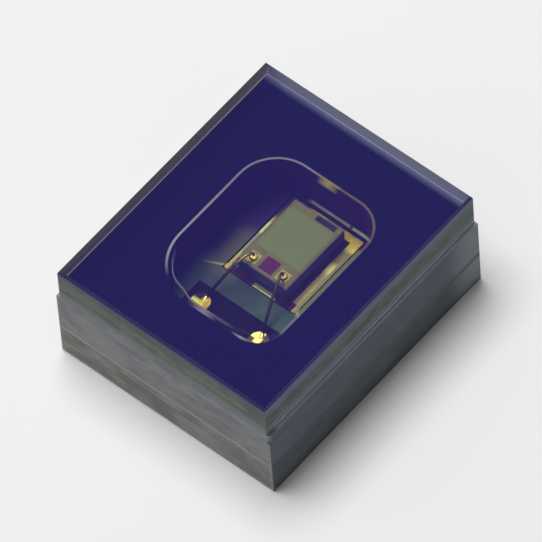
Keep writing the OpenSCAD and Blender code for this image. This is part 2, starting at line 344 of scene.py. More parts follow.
@dataclass(frozen=True)
class SawnLaminate(Finish):
    """Black glass-cloth laminate cut by a dicing saw: grey torn fibres, level streaks, paler upright edges.

    Streaks run between the colour and the dark tone. The upright edges are paler, partly worn and partly a
    painted highlight. The long sides across X are painted darker: painted shade of the right side.
    """

    roughness: float = 0.85
    ior: float = 1.1
    dark: str = "#7c7e80"
    # Upright edges: partly worn, partly a painted highlight where the corners catch light.
    worn: str = "#8e908e"
    # Painted shade on the long sides across X, for the right side that lies in shade.
    shaded_flank: str = "#525a6a"
    shaded_flank_share: float = 0.7
    streak: Triple = (0.8, 0.8, 0.014)
    mottle: Triple = (0.22, 0.22, 0.09)
    tear: float = 0.003
    worn_lit_edge_w: float = 0.05
    skin_w: float = 0.003

    def pattern(self, pen: Pen) -> Feeds:
        """Colours the saw streaks and lets them stand out."""
        streaks = pen.noise(self.streak, detail=4.0)
        return {"Base Color": self.tint(pen, streaks), "Normal": pen.relief(streaks, self.tear)}

    def tint(self, pen: Pen, streaks: Socket) -> Socket:
        """Mixes streaks and mottling; paints shade on the long sides, wear and highlight on the upright
        edges.

        Args:
            pen: Pen in the material's tree.
            streaks: Noise drawn out along the cut.

        Returns:
            The colour.
        """
        sawn = pen.streaked(streaks, pen.noise(self.mottle), self.dark, self.colour)
        side = pen.product(pen.near_side("X", self.skin_w), self.shaded_flank_share)
        edge = pen.product(*(pen.near_side(axis, self.worn_lit_edge_w) for axis in BODY_HALF))
        return self.patched(pen, pen.blend(side, pen.blend(edge, sawn, self.worn), self.shaded_flank))


@dataclass(frozen=True)
class CoreLaminate(SawnLaminate):
    """The base's laminate, whose black upper skin shows bare on the cavity floor."""

    skin: str = "#1a121c"
    skin_z: float = 0.31

    def tint(self, pen: Pen, streaks: Socket) -> Socket:
        """The sawn colour, black at the height of the upper skin."""
        height = pen.ramp("Z", self.skin_z - self.skin_w, self.skin_z)
        return pen.blend(height, super().tint(pen, streaks), self.skin)


@dataclass(frozen=True)
class RoutedWall(Finish):
    """Cavity wall routed out of black laminate, sealed with resin: nearly black, glossy, faint tool marks."""

    mark: Triple = (0.05, 0.05, 0.4)
    mark_d: float = 0.0006
    gloss: Pair = (0.8, 1.2)

    def pattern(self, pen: Pen) -> Feeds:
        """Varies the gloss along faint upright tool marks."""
        marks = pen.noise(self.mark)
        return {"Roughness": self.glossed(pen, marks), "Normal": pen.relief(marks, self.mark_d)}


@dataclass(frozen=True)
class GroundGlass(Finish):
    """Glass cut by a dicing saw: a grey-green frosted side with fine level saw lines and small bright chips.

    Lines run between the colour and the dark tone, with other tones towards the upper edge and at the foot.
    """

    roughness: float = 0.7
    ior: float = 1.2
    dark: str = "#5a6056"
    brink: str = "#5c5d6c"
    brink_z: Pair = (0.97, 1.045)
    brink_share: float = 0.7
    foot: str = "#7e827e"
    foot_z: Pair = (0.78, 0.84)
    line: Triple = (0.5, 0.5, 0.02)
    mottle: Triple = (0.16, 0.16, 0.12)
    grit: float = 0.012
    grit_d: float = 0.002

    def pattern(self, pen: Pen) -> Feeds:
        """Colours the frost and roughens it."""
        return {"Base Color": self.frost(pen), "Normal": pen.relief(pen.noise(self.grit), self.grit_d)}

    def frost(self, pen: Pen) -> Socket:
        """Mixes two greys by saw lines and a coarse mottling, then the tones of the upper edge and the foot.

        Args:
            pen: Pen in the material's tree.

        Returns:
            The colour.
        """
        lines, mottle = (pen.noise(grain, detail=3.0) for grain in (self.line, self.mottle))
        tint = pen.streaked(lines, mottle, self.dark, self.colour)
        upper = pen.ramp("Z", *self.brink_z, (0.0, self.brink_share))
        lower = pen.ramp("Z", *self.foot_z, (1.0, 0.0))
        return pen.blend(lower, pen.blend(upper, tint, self.brink), self.foot)


@dataclass(frozen=True)
class InnerGlass(GroundGlass):
    """A sawn side that shows through the lid too: its inner face has a tone of painted light; lamp light
    passes.
    """

    roughness: float = 0.6
    # Painted light on the inner face, seen from within the lid.
    within: str = "#cbcfff"
    passes: float = 0.7

    def frost(self, pen: Pen) -> Socket:
        """The greys outside, and on the back of the face the inner tone of painted light."""
        back = pen.add("NewGeometry").outputs["Backfacing"]
        return pen.blend(back, super().frost(pen), self.within)

    def surface(self, pen: Pen) -> Socket:
        """Lets a share of the lamp rays through, as frosted glass does."""
        lamp = pen.add("LightPath").outputs["Is Shadow Ray"]
        return pen.let_through(pen.product(lamp, self.passes), super().surface(pen), "#ffffff")


@dataclass(frozen=True)
class Clouded(Finish):
    """A finish clouded towards a second tone, whose skin waves with the clouds where a depth is given."""

    cloud: str = "#50408e"
    cloud_w: float = 0.15
    wave: float = 0.0

    def pattern(self, pen: Pen) -> Feeds:
        """Clouds the colour and waves the skin.

        Args:
            pen: Pen in the material's tree.

        Returns:
            The shader's colour, and its normal where the skin waves.
        """
        clouds = pen.noise(self.cloud_w)
        skin = {"Normal": pen.relief(clouds, self.wave)} if self.wave else {}
        return {"Base Color": self.patched(pen, pen.clouded(clouds, self.colour, self.cloud)), **skin}


@dataclass(frozen=True)
class CoatedGlass(Clouded):
    """Polished glass with a filter coating that throws blue back and lets yellow to infrared through."""

    ior: float = 1.52
    cloud: str = "#f4f6be"
    cloud_w: float = 0.9
    through: str = "#f3f4dc"

    def surface(self, pen: Pen) -> Socket:
        """Lets lamp rays, and rays that leave the inside, straight through, tinted, to light it evenly.

        Args:
            pen: Pen in the material's tree.

        Returns:
            The mixed shader.
        """
        rays = pen.add("LightPath").outputs
        mirrored = {0: rays["Is Glossy Ray"], 1: rays["Is Transmission Ray"]}
        bounced = {0: rays["Is Diffuse Ray"], 1: pen.add("Math", mirrored, operation="SUBTRACT").outputs[0]}
        straight = {0: rays["Is Shadow Ray"], 1: pen.add("Math", bounced, operation="MAXIMUM").outputs[0]}
        share = pen.add("Math", straight, operation="MAXIMUM").outputs[0]
        return pen.let_through(share, self.glass(pen), self.through)

    def glass(self, pen: Pen) -> Socket:
        """The glass that all other rays see."""
        return super().surface(pen)


@dataclass(frozen=True)
class BareGlass(CoatedGlass):
    """The lid's uncoated underside, wetted by glue: it bends light but throws none back."""

    def glass(self, pen: Pen) -> Socket:
        """Plain refraction without a mirror image."""
        inputs = {"Color": linear(self.colour), "Roughness": self.roughness, "IOR": self.ior}
        return pen.add("BsdfRefraction", inputs).outputs["BSDF"]


@dataclass(frozen=True)
class SolderMask(Finish):
    """Thin green solder mask over laminate: glossy, uneven where it flowed, grey where the saw cut it."""

    thin: str = "#2a5c4a"
    sawn: str = "#8a8c8c"
    # Painted shade on the long sides across X, as on the laminate.
    shaded_flank: str = "#4e5458"
    sawn_w: float = 0.004
    flow: float = 0.12
    flow_d: float = 0.001

    def pattern(self, pen: Pen) -> Feeds:
        """Colours the film, greys its sawn edges, paints shade on the long sides, and ripples the gloss.

        Args:
            pen: Pen in the material's tree.

        Returns:
            The shader's colour and normal.
        """
        flow = pen.noise(self.flow)
        across, ahead = (pen.near_side(axis, self.sawn_w) for axis in BODY_HALF)
        tint = pen.blend(across, pen.blend(ahead, self.film(pen, flow), self.sawn), self.shaded_flank)
        return {"Base Color": tint, "Normal": pen.relief(flow, self.flow_d)}

    def film(self, pen: Pen, flow: Socket) -> Socket:
        """The green, thinner in soft patches."""
        return pen.clouded(flow, self.colour, self.thin)


@dataclass(frozen=True)
class FloorMask(SolderMask):
    """The cavity floor's mask: green over copper before the die, dark over bare laminate and as painted
    shade.

    The two meet along the traces from the die pad's front corners; the ridges over them get a painted
    highlight.
    """

    # Nearly black laminate, painted violet as a painted reflection of the blue lid.
    bare: str = "#2e1a74"
    ridge_highlight: str = "#a8acac"
    slope: float = 0.466
    meet: Pair = (0.045, 0.085)
    # Painted shade of the left wall: the floor darkens from here towards it.
    left: Pair = (-0.52, -0.36)
    ridge_line: float = 0.06
    ridge_w: float = 0.022
    ridge_fade: Pair = (0.34, 0.55)
    ridge_root: float = 0.01

    def film(self, pen: Pen, flow: Socket) -> Socket:
        """The green in front, the bare tone behind a line that runs back to the middle, and the paler ridges.

        The line is where the distance from the middle times the slope, plus Y, has one value. Towards the
        left wall the bare tone is painted shade, and the ridges' paler line is a painted highlight.

        Args:
            pen: Pen in the material's tree.
            flow: Soft noise.

        Returns:
            The colour.
        """
        sum_of = {0: pen.place("X", size=True), 1: self.slope, 2: pen.place("Y")}
        line = pen.add("Math", sum_of, operation="MULTIPLY_ADD").outputs[0]
        behind = pen.spread(line, self.meet[0] * MM, self.meet[1] * MM)
        either = {0: behind, 1: pen.ramp("X", *self.left, (1.0, 0.0))}
        dark = pen.add("Math", either, operation="MAXIMUM").outputs[0]
        zones = self.patched(pen, pen.blend(dark, super().film(pen, flow), self.bare))
        off = pen.add("Math", {0: line, 1: self.ridge_line * MM}, operation="SUBTRACT").outputs[0]
        away = pen.add("Math", {0: off}, operation="ABSOLUTE").outputs[0]
        crest = pen.spread(away, 0.0, self.ridge_w * MM, 1.0, 0.0)
        out = pen.ramp("X", *self.ridge_fade, (1.0, 0.0), size=True)
        root = pen.ramp("X", self.ridge_fade[0] - self.ridge_root, self.ridge_fade[0], size=True)
        return pen.blend(pen.product(crest, out, root), zones, self.ridge_highlight)


@dataclass(frozen=True)
class PlatedMetal(Finish):
    """Electroplated metal: bright, with the grain of the copper under it in its gloss and level."""

    metallic: float = 1.0
    worn: str = "#8a5634"
    grain: float = 0.018
    dent: float = 5.0
    ripple: float = 0.0012
    dull: Pair = (0.45, 0.75)
    dull_share: float = 0.6

    def pattern(self, pen: Pen) -> Feeds:
        """Breaks the mirror up by grain in colour, gloss and level, and dulls the plating by coarser dents.

        Args:
            pen: Pen in the material's tree.

        Returns:
            The shader's colour, roughness and normal.
        """
        grains = pen.noise(self.grain, detail=3.0)
        dents = pen.noise(self.grain * self.dent)
        wear = pen.spread(dents, *self.dull, 0.0, self.dull_share)
        return {
            "Base Color": self.patched(pen, pen.blend(wear, self.colour, self.worn)),
            "Roughness": self.glossed(pen, grains),
            "Normal": pen.relief(dents, self.ripple),
        }


@dataclass(frozen=True)
class Wafer(Clouded):
    """Silicon or an oxide film on it: mirror-flat, with faint clouding of the interference colour."""

    ior: float = 1.25


@dataclass(frozen=True)
class MicrocellGrid(Finish):
    """Field of square microcells between thin metal lines, under clear oxide.

    Real cells are about 0.01 mm; they are drawn 0.025 mm wide, as coarse as they need to be to show at all.
    """

    line: str = "#808870"
    pitch: float = 0.025
    line_share: float = 0.08
    line_soft: float = 0.4
    line_d: float = 0.0004

    def pattern(self, pen: Pen) -> Feeds:
        """Draws the cells as bricks without offset and lets the lines stand out a little.

        Args:
            pen: Pen in the material's tree.

        Returns:
            The shader's colour and normal.
        """
        inputs = {
            "Vector": pen.add("TexCoord").outputs["Object"],
            "Color1": linear(self.colour),
            "Color2": linear(self.colour),
            "Mortar": linear(self.line),
            "Scale": 1 / (self.pitch * MM),
            "Mortar Size": self.line_share,
            "Mortar Smooth": self.line_soft,
            "Brick Width": 1.0,
            "Row Height": 1.0,
        }
        cells = pen.add("TexBrick", inputs, offset=0.0).outputs
        return {"Base Color": cells["Color"], "Normal": pen.relief(cells["Fac"], self.line_d)}


@dataclass(frozen=True)
class CuredResin(Clouded):
    """Cured adhesive or bond film: satin, cloudy, with a wavy skin."""

    cloud: str = "#46304a"
    cloud_w: float = 0.06
    wave: float = 0.0008


@dataclass(frozen=True)
class PooledResin(Finish):
    """Resin, clear where thin and pale where pooled, partly a painted highlight; the piece's shade says
    where.
    """

    pale: str = "#c8d0d0"
    cloud_w: float = 0.06
    cloud_least: float = 0.75

    def pattern(self, pen: Pen) -> Feeds:
        """Mixes the thin and the pooled colour by the shade, broken up by soft noise.

        Args:
            pen: Pen in the material's tree.

        Returns:
            The shader's colour.
        """
        pool = pen.add("Attribute", attribute_name=SHADE).outputs["Fac"]
        clouds = pen.spread(pen.noise(self.cloud_w), *NOISE_RANGE, self.cloud_least)
        return {"Base Color": pen.blend(pen.product(pool, clouds), self.colour, self.pale)}


@dataclass(frozen=True)
class ClearBead(Finish):
    """Clear glue bead, of which only painted highlights on the skin show; the piece's shade says where."""

    warm: str = "#887c7c"
    turn_x: Pair = (-0.2, 0.1)
    turn_y: Pair = (-0.5, -0.2)

    def pattern(self, pen: Pen) -> Feeds:
        """Opens the skin by the shade and warms it towards the right, as a painted reflection of the gold.

        Args:
            pen: Pen in the material's tree.

        Returns:
            The shader's colour and opacity.
        """
        skin = pen.add("Attribute", attribute_name=SHADE).outputs["Fac"]
        warmth = pen.product(pen.ramp("X", *self.turn_x), pen.ramp("Y", *self.turn_y))
        return {"Base Color": self.patched(pen, pen.blend(warmth, self.colour, self.warm)), "Alpha": skin}


# The far end of the right side catches more light from the card behind, so its cut looks paler.
FAR_END = (Patch((1.03, 1.1), (1.15, 1.3), "#8a8e92", 0.35),)
# Black glass-cloth laminate, diced: torn fibres grey the cut, with level saw streaks.
LAMINATE = SawnLaminate("sawn_frame_laminate", "#909294", patches=FAR_END)
# The same laminate on the ledge that the lid's saw cut: paler, palest on the right, as painted light.
LIT_LEDGE_RIGHT = (Patch((0.99, 1.1), (-1.1, 1.3), "#b4bac8", 0.05),)
LEDGE = SawnLaminate("saw_ledge_laminate", "#94969c", patches=LIT_LEDGE_RIGHT, dark="#808288", shaded_flank_share=0.0)
# The same laminate broken instead of sawn: rougher and darker.
CHIP = SawnLaminate("broken_corner_laminate", "#6e7274", 0.9, dark="#585c5e", worn="#6e7274", shaded_flank="#585c5e")
# The base's laminate, diced: a warmer grey than the frame, black resin skin on the cavity floor.
CORE = CoreLaminate("sawn_core_laminate", "#8f918d", patches=FAR_END, dark="#747672", shaded_flank="#4a4f5a")
# Epoxy bond film, cut with the laminate: a paler line between frame and base.
SEAM = SawnLaminate("sawn_bond_line", "#9a9c9e", 0.8, dark="#86888b", shaded_flank="#484e5a", shaded_flank_share=0.9)
# The same epoxy run out at the foot of the wall: clear over black where thin, pale where it pooled; its pale
# line along the lit rear wall is partly a painted highlight.
RESIN = PooledResin("pooled_and_lit_bond_resin", "#100c18", 0.3, ior=1.15)
# Cavity wall, routed and sealed with black resin: deep violet, the blue lid's painted reflection, satin.
ROUTED = RoutedWall("routed_resin_wall", "#48189c", 0.6, ior=1.1)
# Borosilicate glass, diced, in the order of Facing: frosted grey-green, bluer towards the upper edge, paler
# where glue backs its foot; darker on the right as painted shade. At the rear and on the left, the inner face
# shows through the lid, painted blue and warm as painted light.
LID_SIDES = (
    GroundGlass("diced_ground_glass", "#727771", dark="#5e635f", brink="#525476"),
    GroundGlass(
        "sawn_glass_right", "#6b7472", dark="#575f5e", brink="#787c98", brink_z=(0.9, 1.03), foot="#7c828c"
    ),
    InnerGlass("diced_glass_rear", "#6e7468"),
    InnerGlass("diced_glass_left", "#6e7468", within="#d8d0a0"),
)
# Fine chips along the lid's upper edges, in the same order, painted a tone per side as painted light: the
# lid's blue as a painted reflection in front and on the right, lilac back light at the rear, dark on the
# left. Tones are middle, light and dark.
LID_CHIPS = tuple(
    GroundGlass(f"chipped_glass_{side.name.lower()}", light, 0.5, dark=dark, brink=middle)
    for side, (middle, light, dark) in {
        Facing.FRONT: ("#2e2c56", "#343260", "#28264c"),
        Facing.RIGHT: ("#393966", "#414170", "#32325a"),
        Facing.REAR: ("#5c5882", "#645f8c", "#524e76"),
        Facing.LEFT: ("#383643", "#403e4a", "#302e3a"),
    }.items()
)
# Polished glass with an evaporated filter: mirrors blue, passes yellow, so the inside looks warm and dim.
MIRRORED = (0.31, 0.248, 1.97)
COATED = CoatedGlass("blue_filter_glass", "#f7f8c9", 0.015, transmission=1.0, specular_tint=MIRRORED)
# The lid's polished underside without a coating: only bends the view.
UNCOATED = BareGlass("bare_glass_underside", "#fbfce2", 0.0)
# Green photo-imaged solder mask, cured: glossy, thinner and paler in soft patches.
MASK = SolderMask("green_solder_mask", "#1f4a3c", 0.25, ior=1.4)
# The same on the cavity floor: blue-green over copper, violet over bare laminate and as painted shade, the
# violet a painted reflection of the blue lid; pale patches where light pools.
FLOOR_MASK = FloorMask(
    "floor_solder_mask",
    "#364c58",
    0.22,
    ior=1.25,
    patches=(
        Patch((-0.5, 0.0), (-0.5, -0.12), "#364662", 0.1),
        Patch((-0.4, -0.3), (-0.12, 0.2), "#585868", 0.14),
        Patch((0.345, 0.7), (-0.13, 0.62), "#6c7468", 0.01),
    ),
    thin="#405e64",
)
# Gold plated on nickel and rolled copper: satin and mottled. Its patches paint light and shade: in front,
# maroon where die adhesive bled over it and the gold mirrors the dark die, with a painted glint beside that;
# elsewhere painted glints, painted reflections of dark parts, and the lit rear corner.
GOLD = PlatedMetal(
    "gold_plate_on_copper",
    "#9c8c54",
    0.4,
    patches=(
        Patch((0.2, 0.36), (0.44, 0.53), "#786850", 0.05),
        Patch((0.2, 0.36), (0.34, 0.38), "#b8b49c", 0.05),
        Patch((0.2, 0.36), (0.2, 0.27), "#868070", 0.05),
        Patch((0.2, 0.36), (-0.03, 0.03), "#8a7a6c", 0.04),
        Patch((-0.2, 0.36), (0.59, 0.75), "#c4aa38", 0.04),
        Patch((0.325, 0.36), (-0.13, 0.56), "#6e6850", 0.012),
        Patch((-0.305, -0.085), (-0.2, -0.05), "#3a1c34"),
        Patch((0.155, 0.3), (-0.2, -0.05), "#3a1c34"),
        Patch((-0.06, 0.135), (-0.2, -0.09), "#b4b2a6", 0.012),
        Patch((-0.4, -0.2), (0.1, 0.3), "#77757a", 0.04),
        Patch((-0.4, -0.2), (0.31, 0.4), "#b0aa9c", 0.03),
        Patch((-0.4, -0.2), (0.5, 0.75), "#3e3c4a", 0.06),
        Patch((-0.318, -0.2), (-0.05, 0.75), "#544c44", 0.008),
    ),
    worn="#7c7668",
    grain=0.03,
    ripple=0.0003,
)
# The same gold on the solder lands, never soldered: brighter and even.
LAND_GOLD = PlatedMetal("gold_plate_on_lands", "#d4b45c", 0.3, worn="#b8964a", grain=0.03, ripple=0.0006)
# The same gold on the right finger: dull brown, a painted reflection of dark parts, with a painted highlight.
FINGER_GOLD = PlatedMetal(
    "finger_gold_painted_glint",
    "#4a3c24",
    0.46,
    patches=(
        Patch((0.215, 0.29), (-0.46, -0.37), "#e4d0b0", 0.012),
        Patch((0.255, 0.3), (-0.495, -0.44), "#e4d0b0", 0.012),
    ),
    worn="#3e321e",
    grain=0.02,
    ripple=0.001,
)
# The same gold on the left finger, half under the clear bead: yellow, brown on the right, with painted shade
# and dark reflections at its ends and a painted glint.
SHADED_GOLD = PlatedMetal(
    "finger_gold_painted_light",
    "#b6ad54",
    0.46,
    patches=(
        Patch((-0.25, -0.2), (-0.5, -0.3), "#a0804a", 0.02),
        Patch((-0.4, -0.305), (-0.44, -0.3), "#241c4c", 0.03),
        Patch((-0.28, -0.262), (-0.43, -0.41), "#fff2c8", 0.01),
        Patch((-0.4, -0.2), (-0.7, -0.505), "#2e2840", 0.015),
    ),
    worn="#a0964a",
    grain=0.02,
    ripple=0.001,
)
# Sputtered aluminium alloy on the die's pads: flat, fine-grained, warm under the lid.
PAD_METAL = PlatedMetal("sputtered_pad_metal", "#7e7451", 0.3, worn="#706444", grain=0.006, ripple=0.0004)
# Gold wire where the bonder pressed it, ball and stitch: bright and dented.
WELD_GOLD = PlatedMetal("pressed_ball_gold", "#ead488", 0.25, worn="#b89a50", grain=0.01, ripple=0.0008)
# Drawn gold wire: fine and shadowed, so painted mostly dark, with a painted highlight along the top of the
# left one's loop.
LOOP_TOP_HIGHLIGHT = (Patch((-0.5, 0.0), (-0.11, 0.2), "#8a784e", 0.06),)
WIRE_GOLD = PlatedMetal(
    "drawn_wire_painted_dark", "#4a4230", 0.3, patches=LOOP_TOP_HIGHLIGHT, worn="#383024", grain=0.008, ripple=0.0004
)
# Copper plated into the drilled holes: reddish and satin.
COPPER = PlatedMetal("plated_copper_fill", "#b87a52", 0.35)
# Silicon, diced: smooth dark sides, painted violet as a painted reflection of the violet wall.
SILICON = Wafer("diced_silicon", "#5c4aa4", 0.45, ior=1.3)
# Oxide over the die's metal: olive grey and glossy.
STACK = Wafer("passivated_metal_stack", "#726c5a", 0.3, cloud="#7e7662", cloud_w=0.05)
# Thin oxide and nitride films on silicon: an interference colour, violet on one and deep blue on the other.
DARK_FILM = Wafer("violet_interference_film", "#631e87", 0.2, cloud="#5a1a7c")
GUARD_FILM = Wafer("blue_interference_film", "#1c1d40", 0.2, cloud="#242348")
# Silicon microcells under clear oxide: grey-green between hair-fine lines.
CELLS = MicrocellGrid("microcell_field_grid", "#78826a", 0.3, ior=1.25)
# Filled epoxy under the die: dark and satin, with one wet glint in front.
ATTACH_GLINT = (Patch((-0.06, 0.135), (-0.2, -0.094), "#a09e94", 0.006),)
ATTACH = CuredResin("dark_die_adhesive", "#3a2440", 0.4, ior=1.3, patches=ATTACH_GLINT)
# Black epoxy wetting the glass: no skin of its own shows; its deep blue-black paints the lid's blue
# reflection.
GLUE = CuredResin("black_glue_on_glass", "#0d0e41", 1.0, ior=1.0, cloud="#0c0d3e", cloud_w=0.2)
# The same along the lid's rear edge: painted light from behind, pale and bluish, darkening inward.
REAR_FADE = (Patch((-1.1, 1.1), (1.0, 1.16), "#2a2c50", 0.06),)
BACKLIT_GLUE_REAR = CuredResin(
    "backlit_glue_rear", "#7176c8", 0.8, ior=1.1, patches=REAR_FADE, cloud="#6a6fbc", cloud_w=0.3
)
# The same where the saw cut it: a thin pale line under the glass, with painted shade dimming it on the right.
SHADED_EDGE_RIGHT = (Patch((1.0, 1.1), (-1.3, 1.3), "#6c707a", 0.01),)
GLUE_EDGE = CuredResin(
    "sawn_glue_edge", "#7f828c", 0.8, ior=1.1, patches=SHADED_EDGE_RIGHT, cloud="#747780", cloud_w=0.2
)
# Clear epoxy squeezed into the cavity: only painted highlights on its skin show, silvery or warm, and a
# yellow patch on a lump that paints the gold's reflection.
BEAD_LUMP_SHEEN = (Patch((-0.06, 0.08), (0.6, 0.8), "#b4a45c", 0.04),)
BEAD = ClearBead("clear_glue_bead", "#aca4ff", 0.5, ior=1.0, patches=BEAD_LUMP_SHEEN)
# White card under the part: matt, faintly uneven.
CARD = CuredResin("white_card", "#f4f4f4", 0.9, cloud="#f2f2f2", cloud_w=6.0)

NODE_FINISH: dict[str, Finish] = {
    "base_core": CORE,
    "bottom_mask": MASK,
    "floor_mask": FLOOR_MASK,
    **{
        f"{kind}_{end}_{hand}": finish
        for kind, finish in (("land", LAND_GOLD), ("via", COPPER))
        for end in ("front", "rear")
        for hand in ("left", "right")
    },
    "die_pad": GOLD,
    "bond_finger_left": SHADED_GOLD,
    "bond_finger_right": FINGER_GOLD,
    "die_attach": ATTACH,
    "sensor_die": SILICON,
    "die_stack": STACK,
    "microcell_field": CELLS,
    "bond_pad_left": PAD_METAL,
    "bond_pad_right": PAD_METAL,
    "reference_cell": DARK_FILM,
    "guard_bar": GUARD_FILM,
}


def put(name: str, data: bpy.types.ID) -> bpy.types.Object:
    """Puts an object into the scene.

    Args:
        name: The object's name.
        data: Mesh, light or camera that it shows.

    Returns:
        The object.
    """
    thing = bpy.data.objects.new(name, data)
    bpy.context.scene.collection.objects.link(thing)
    return thing


def node_box(name: str) -> tuple[Array, Array]:
    """Lowest and highest corner of a CAD node in millimetres."""
    low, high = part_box(name)
    return np.array(low) / MM, np.array(high) / MM


def raise_plan(plan: Array, height: Array) -> Array:
    """Sets plan points at their heights.

    Args:
        plan: Plan points, rows by columns by two.
        height: Heights that broadcast to rows by columns.

    Returns:
        Points, rows by columns by three.
    """
    return np.concatenate([plan, np.broadcast_to(height, plan.shape[:2])[..., None]], axis=-1)


@dataclass(frozen=True)
class Shell:
    """A closed surface on a grid whose columns run round and whose rows run along a section."""

    name: str
    slot: Slot
    replaces: tuple[str, ...]
    finishes: tuple[Finish, ...]
    crease: float = 35.0
    caps: tuple[int, int] = (0, 0)

    def build(self, grid: Array, finish: Array, ring: bool, shade: Array | None = None) -> None:
        """Turns the grid into a piece that rides on the part.

        Each quad joins two neighbours of a row to the two after them. A ring's last row joins its first;
        otherwise a cap closes the first row and the last. The signed volume tells which way the faces look.

        Args:
            grid: Points in millimetres, rows by columns by three.
            finish: Index of the finish for each strip between rows, or for each of its quads.
            ring: True where the last row joins the first.
            shade: Value from 0 to 1 at each point for finishes that read it.
        """
        rows, cols = grid.shape[:2]
        points = grid.reshape(-1, 3) * MM
        strip = np.arange(rows if ring else rows - 1)[:, None] * cols
        here, after = np.arange(cols), np.roll(np.arange(cols), -1)
        up = (strip + cols) % (rows * cols)
        quads = np.stack([strip + here, strip + after, up + after, up + here], axis=-1).reshape(-1, 4)
        loops = [] if ring else [here[::-1], here + (rows - 1) * cols]
        faces = quads.tolist() + [loop.tolist() for loop in loops]
        ids = np.broadcast_to(finish.reshape(len(strip), -1), (len(strip), cols)).ravel().tolist()
        ids += self.caps[: len(loops)]
        corner = points[quads]
        volume = sum((corner[:, 0] * np.cross(corner[:, i], corner[:, i + 1])).sum() for i in (1, 2))
        for loop in loops:
            edge = points[loop]
            volume += (edge[0] * np.cross(edge, np.roll(edge, -1, axis=0))).sum()
        if volume < 0:
            faces = [face[::-1] for face in faces]
        mesh = bpy.data.meshes.new(self.name)
        mesh.from_pydata(points.tolist(), [], faces)
        for coat in self.finishes:
            mesh.materials.append(coat.material())
        mesh.polygons.foreach_set("material_index", ids)
        mesh.polygons.foreach_set("use_smooth", [True] * len(faces))
        if shade is not None:
            mesh.attributes.new(SHADE, "FLOAT", "POINT").data.foreach_set("value", shade.ravel())
        mesh.update()
        mesh.set_sharp_from_angle(angle=math.radians(self.crease))
        piece = put(self.name, mesh)
        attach(piece, ROOT)
        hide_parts(*self.replaces)
        LOG.info("%s: %d faces, stands for %s", self.name, len(faces), ", ".join(self.replaces))


@dataclass(frozen=True)
class CavityOutline:
    """The cavity's plan: straight walls between four unlike corner arcs, the front left one first."""

    half_w: float = 0.597
    half_l: float = 0.755
    radii: tuple[float, float, float, float] = (0.45, 0.24, 0.30, 0.36)
    arc_steps: int = 25
    side_steps: int = 23

    @property
    def signs(self) -> Array:
        """Which way each corner lies from the middle."""
        return np.array([(-1, -1), (1, -1), (1, 1), (-1, 1)], float)

    def plan(self) -> tuple[Array, Array]:
        """The outline and its outward directions.

        An arc's point is its centre plus the radius times (cosine, sine). A straight run is shared out evenly
        between the end of one arc and the start of the next.

        Returns:
            Points and unit directions, columns by two.
        """
        radii = np.asarray(self.radii)[:, None]
        centres = self.signs * (np.array([self.half_w, self.half_l]) - radii)
        start = np.radians([180.0, 270.0, 0.0, 90.0])[:, None]
        turn = start + np.linspace(0, np.pi / 2, self.arc_steps)
        rays = np.stack([np.cos(turn), np.sin(turn)], axis=-1)
        arcs = centres[:, None] + radii[..., None] * rays
        share = np.linspace(0, 1, self.side_steps + 2)[1:-1, None]
        runs = arcs[:, -1:] * (1 - share) + np.roll(arcs[:, 0], -1, axis=0)[:, None] * share
        run_rays = np.broadcast_to(rays[:, -1:], runs.shape)
        points = np.concatenate([arcs, runs], axis=1).reshape(-1, 2)
        return points, np.concatenate([rays, run_rays], axis=1).reshape(-1, 2)

    def inset(self, distance: Array) -> Array:
        """The outline moved into the cavity.

        Args:
            distance: How far, rows by columns or rows by one.

        Returns:
            Plan points, rows by columns by two.
        """
        points, outward = self.plan()
        return points - outward * distance[..., None]

    def rectangle(self, half: Array) -> Array:
        """Rectangles with the same columns as the outline.

        Each corner lies at the column of an arc's middle, and the columns crowd towards it by half a cosine.

        Args:
            half: Half width and half length for each row.

        Returns:
            Plan points, rows by columns by two.
        """
        count = self.arc_steps + self.side_steps
        share = (0.5 - 0.5 * np.cos(np.pi * np.arange(count) / count))[:, None]
        corners = self.signs * np.asarray(half, float)[:, None]
        runs = corners[:, :, None] * (1 - share) + np.roll(corners, -1, axis=1)[:, :, None] * share
        return np.roll(runs.reshape(len(corners), -1, 2), self.arc_steps // 2, axis=1)

    def facing(self) -> Array:
        """Which way each column of a rectangle looks.

        The middle between two columns is put against the half sizes; the larger share tells the side.

        Returns:
            A Facing number for each column.
        """
        unit = self.rectangle([(1.0, 1.0)])[0]
        x, y = ((unit + np.roll(unit, -1, axis=0)) / 2).T
        across = np.where(x > 0, Facing.RIGHT, Facing.LEFT)
        return np.where(np.abs(x) > np.abs(y), across, np.where(y > 0, Facing.REAR, Facing.FRONT))

    def wander(self, seed: int, waves: int = 9) -> Array:
        """A smooth uneven value round the outline: a sum of seeded cosines that fade with their number.

        Args:
            seed: Seed of the phases.
            waves: How many cosines.

        Returns:
            About -1 to 1 for each column.
        """
        rng = np.random.default_rng(seed)
        order = np.arange(1, waves + 1)[:, None]
        turn = np.linspace(0, 2 * np.pi, 4 * (self.arc_steps + self.side_steps), endpoint=False)
        wave = np.cos(order * turn + rng.uniform(0, 2 * np.pi, (waves, 1))) / np.sqrt(order)
        return wave.sum(axis=0) / np.abs(wave.sum(axis=0)).max()

    def uneven(self, share: float, seed: int) -> Array:
        """A factor for each column that wanders between 1 and 1 less a share."""
        return 1 - share * (0.5 + 0.5 * self.wander(seed))


